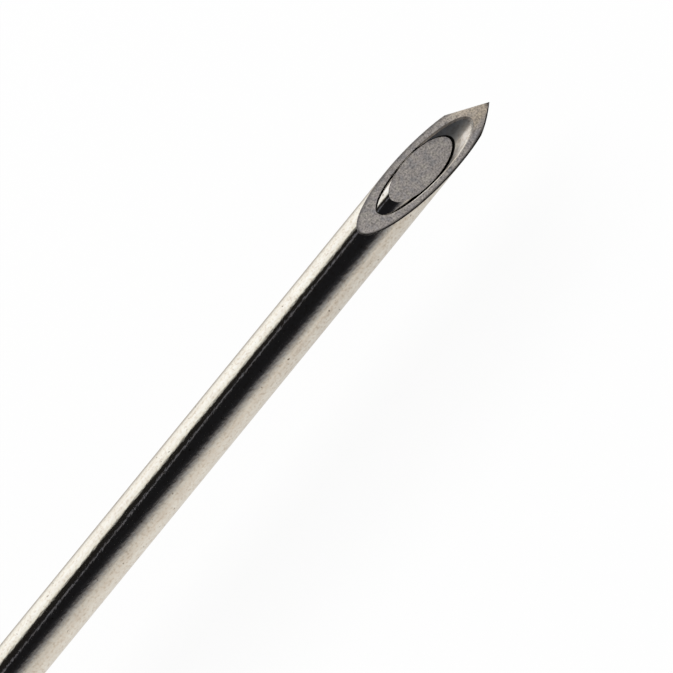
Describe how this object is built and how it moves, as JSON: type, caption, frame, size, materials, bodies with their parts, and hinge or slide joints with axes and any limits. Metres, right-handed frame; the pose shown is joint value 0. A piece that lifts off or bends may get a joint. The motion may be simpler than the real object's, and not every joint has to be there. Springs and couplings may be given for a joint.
{
  "type": "spinal needle",
  "caption": "Hollow steel needle with a slanted, side-ground point, a clear locking hub and a keyed stylet that fills its bore for lumbar puncture.",
  "frame": {"origin": "on the needle's axis at the front face of the hub's nose, where the needle's length is counted from", "axes": "+X along the needle to its sharp tip, +Z the side that the bevel and the hub's keyway face, +Y completes the right-handed frame"},
  "size_m": [0.1262, 0.0078, 0.0078],
  "materials": {
    "cannula_steel": "bright drawn tube, blasted grey on the ground point",
    "stylet_steel": "bright drawn wire, matt on the ground face",
    "clear_hub": "clear moulded polycarbonate",
    "cap_plastic": "satin moulded pink polypropylene",
    "adhesive": "clear cured adhesive"
  },
  "bodies": {
    "needle": {"cannula": "cannula_steel", "needle_hub": "clear_hub", "cannula_adhesive": "adhesive"},
    "stylet": {"stylet_wire": "stylet_steel", "stylet_cap": "cap_plastic", "stylet_adhesive": "adhesive"}
  },
  "joints": [
    {"name": "stylet_slide", "type": "slide", "parent": "needle", "child": "stylet", "axis": [-1, 0, 0], "range_m": [0, 0.113]}
  ]
}
